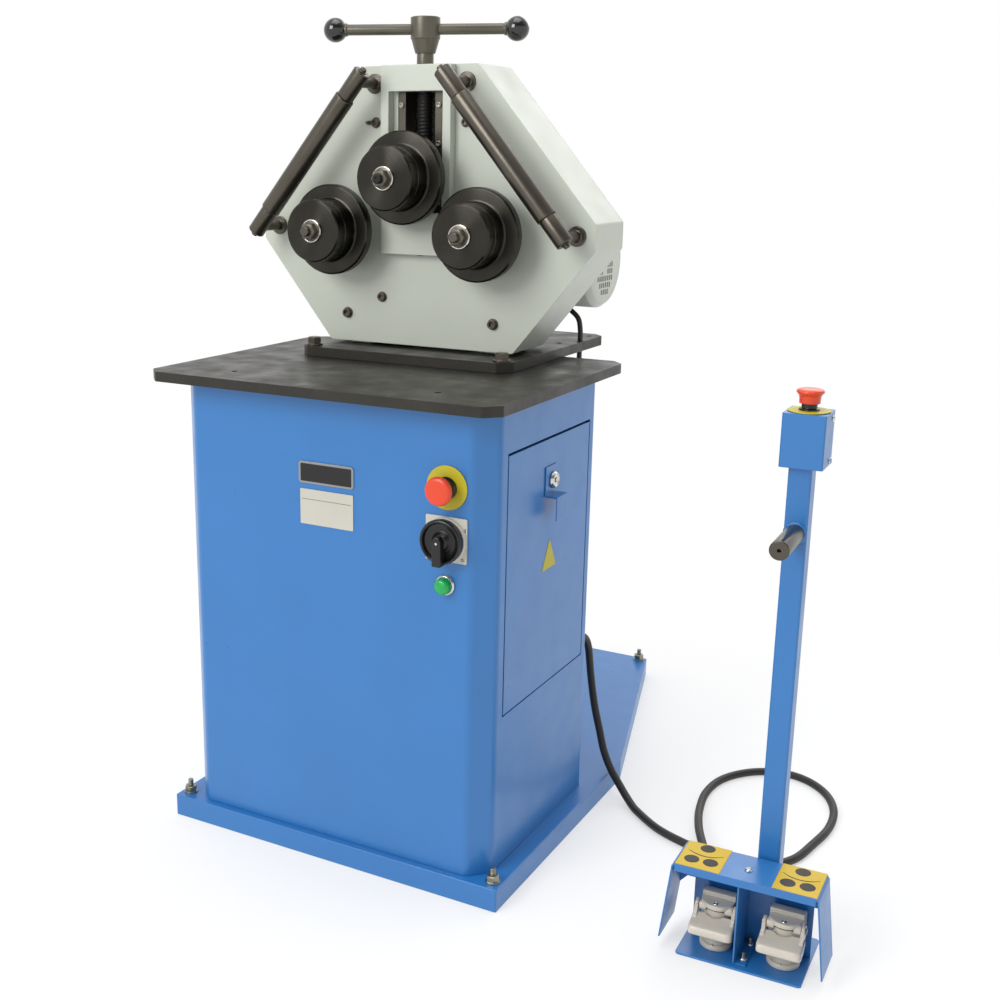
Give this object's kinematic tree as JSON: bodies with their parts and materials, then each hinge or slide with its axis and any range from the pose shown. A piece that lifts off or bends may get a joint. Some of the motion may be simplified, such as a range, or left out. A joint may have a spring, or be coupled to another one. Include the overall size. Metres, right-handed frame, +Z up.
{
  "type": "ring roller",
  "caption": "Floor-standing section bender: powered forming rolls on a head, with a screw-down roll, over a sheet cabinet, and a separate pedal console on a hose.",
  "frame": {"origin": "on the floor, at the middle of the whole object's plan", "axes": "+X to the right seen from the front, +Y from the rolls to the motor, +Z up"},
  "size_m": [0.9786, 0.946, 1.185],
  "materials": {
    "blue_paint": "semi-gloss blue powder coat, fine orange peel",
    "grey_paint": "light warm-grey machine enamel",
    "oiled_black": "blackened and oiled steel",
    "black_plate": "satin black plate with bare cut edges",
    "bright_steel": "turned bright steel",
    "yellow_plastic": "matt yellow plastic",
    "red_plastic": "glossy orange-red plastic",
    "green_lens": "clear green lens",
    "plate_label": "bare satin aluminium plate",
    "black_rubber": "black flexible plastic and rubber",
    "cast_treadle": "light warm-grey enamel over a casting",
    "switch_grey": "light grey plastic",
    "black_plastic": "moulded black plastic",
    "zinc_panel": "zinc-plated sheet"
  },
  "bodies": {
    "machine": {"base_tray": "blue_paint", "cabinet_shell": "blue_paint", "electrics_panel": "zinc_panel", "table_top": "black_plate", "head_base_plate": "black_plate", "head_casing": "grey_paint", "head_rear_cover": "grey_paint", "slide_frame": "grey_paint", "gib_strip_left": "oiled_black", "gib_strip_right": "oiled_black", "worm_gearbox": "grey_paint", "motor": "grey_paint", "motor_cowl": "grey_paint", "motor_cable": "black_rubber", "guide_rail_left": "oiled_black", "guide_rail_right": "oiled_black", "estop_base": "yellow_plastic", "switch_plate": "switch_grey", "pilot_lamp": "green_lens", "badge_plate": "plate_label", "data_plate": "plate_label", "hose_gland_cabinet": "black_rubber", "console_base": "blue_paint", "console_hood": "blue_paint", "console_divider": "blue_paint", "console_post": "blue_paint", "console_box": "blue_paint", "console_estop_base": "yellow_plastic", "console_handle": "oiled_black", "pedal_body_left": "cast_treadle", "pedal_body_right": "cast_treadle", "hose_gland_console": "black_rubber", "pedal_hose": "black_rubber"},
    "door": {"cabinet_door": "blue_paint", "door_pull": "blue_paint"},
    "lock": {"door_lock": "bright_steel"},
    "slide": {"slide_block": "oiled_black"},
    "screw": {"lift_screw": "oiled_black", "handle_bar": "oiled_black"},
    "top_roll": {"top_shaft": "bright_steel", "top_roll": "oiled_black", "top_ring": "oiled_black", "top_nut": "bright_steel"},
    "left_roll": {"left_shaft": "bright_steel", "left_roll": "oiled_black", "left_ring": "oiled_black", "left_nut": "bright_steel"},
    "right_roll": {"right_shaft": "bright_steel", "right_roll": "oiled_black", "right_ring": "oiled_black", "right_nut": "bright_steel"},
    "pinion": {"drive_pinion": "bright_steel"},
    "sleeve_left": {"guide_sleeve_left": "oiled_black"},
    "sleeve_right": {"guide_sleeve_right": "oiled_black"},
    "stop_button": {"estop_button": "red_plastic"},
    "main_switch": {"switch_knob": "black_plastic"},
    "console_stop": {"console_estop_button": "red_plastic"},
    "treadle_left": {"pedal_treadle_left": "cast_treadle"},
    "treadle_right": {"pedal_treadle_right": "cast_treadle"}
  },
  "joints": [
    {"name": "slide_travel", "type": "slide", "parent": "machine", "child": "slide", "axis": [0, 0, 1], "range_m": [-0.01501, 0.07001]},
    {"name": "screw_turn", "type": "hinge", "parent": "slide", "child": "screw", "pos_m": [-0.21282, -0.163, 1.1], "axis": [0, 0, 1], "range_deg": [-1080, 5040]},
    {"name": "top_roll_spin", "type": "hinge", "parent": "slide", "child": "top_roll", "pos_m": [-0.21282, -0.2555, 0.9645], "axis": [0, 1, 0], "continuous": true},
    {"name": "left_roll_spin", "type": "hinge", "parent": "machine", "child": "left_roll", "pos_m": [-0.33282, -0.2555, 0.8894], "axis": [0, 1, 0], "continuous": true},
    {"name": "right_roll_spin", "type": "hinge", "parent": "machine", "child": "right_roll", "pos_m": [-0.09282, -0.2555, 0.8894], "axis": [0, 1, 0], "continuous": true},
    {"name": "pinion_spin", "type": "hinge", "parent": "machine", "child": "pinion", "pos_m": [-0.21282, -0.1135, 0.8894], "axis": [0, 1, 0], "continuous": true},
    {"name": "sleeve_left_spin", "type": "hinge", "parent": "machine", "child": "sleeve_left", "pos_m": [-0.30522, -0.2305, 1.0745], "axis": [-0.6441, 0, -0.7649], "continuous": true},
    {"name": "sleeve_right_spin", "type": "hinge", "parent": "machine", "child": "sleeve_right", "pos_m": [-0.12042, -0.2305, 1.0745], "axis": [0.6441, 0, -0.7649], "continuous": true},
    {"name": "door_hinge", "type": "hinge", "parent": "machine", "child": "door", "pos_m": [0.03518, -0.2465, 0.2615], "axis": [0, 1, 0], "range_deg": [0, 68]},
    {"name": "lock_turn", "type": "hinge", "parent": "door", "child": "lock", "pos_m": [0.03818, -0.2425, 0.562], "axis": [-1, 0, 0], "range_deg": [0, 90]},
    {"name": "stop_press", "type": "slide", "parent": "machine", "child": "stop_button", "axis": [0, 1, 0], "range_m": [0, 0.005], "stiffness_N_per_m": 800, "springref_m": -0.004},
    {"name": "switch_turn", "type": "hinge", "parent": "machine", "child": "main_switch", "pos_m": [-0.02442, -0.4455, 0.5137], "axis": [0, 1, 0], "range_deg": [0, 90]},
    {"name": "console_stop_press", "type": "slide", "parent": "machine", "child": "console_stop", "axis": [0, 0, -1], "range_m": [0, 0.005], "stiffness_N_per_m": 800, "springref_m": -0.004},
    {"name": "treadle_left_press", "type": "hinge", "parent": "machine", "child": "treadle_left", "pos_m": [0.34541, -0.37389, 0.06], "axis": [0.9995, 0.0332, 0], "range_deg": [0, 9], "stiffness_Nm_per_rad": 8, "springref_deg": -5.73},
    {"name": "treadle_right_press", "type": "hinge", "parent": "machine", "child": "treadle_right", "pos_m": [0.43236, -0.37101, 0.06], "axis": [0.9995, 0.0332, 0], "range_deg": [0, 9], "stiffness_Nm_per_rad": 8, "springref_deg": -5.73}
  ],
  "couplings": [
    {"joint": "slide_travel", "follows": "screw_turn", "m_per_rad": 0.00079577},
    {"joint": "right_roll_spin", "follows": "left_roll_spin", "ratio": 1},
    {"joint": "pinion_spin", "follows": "left_roll_spin", "ratio": -1.8571}
  ]
}
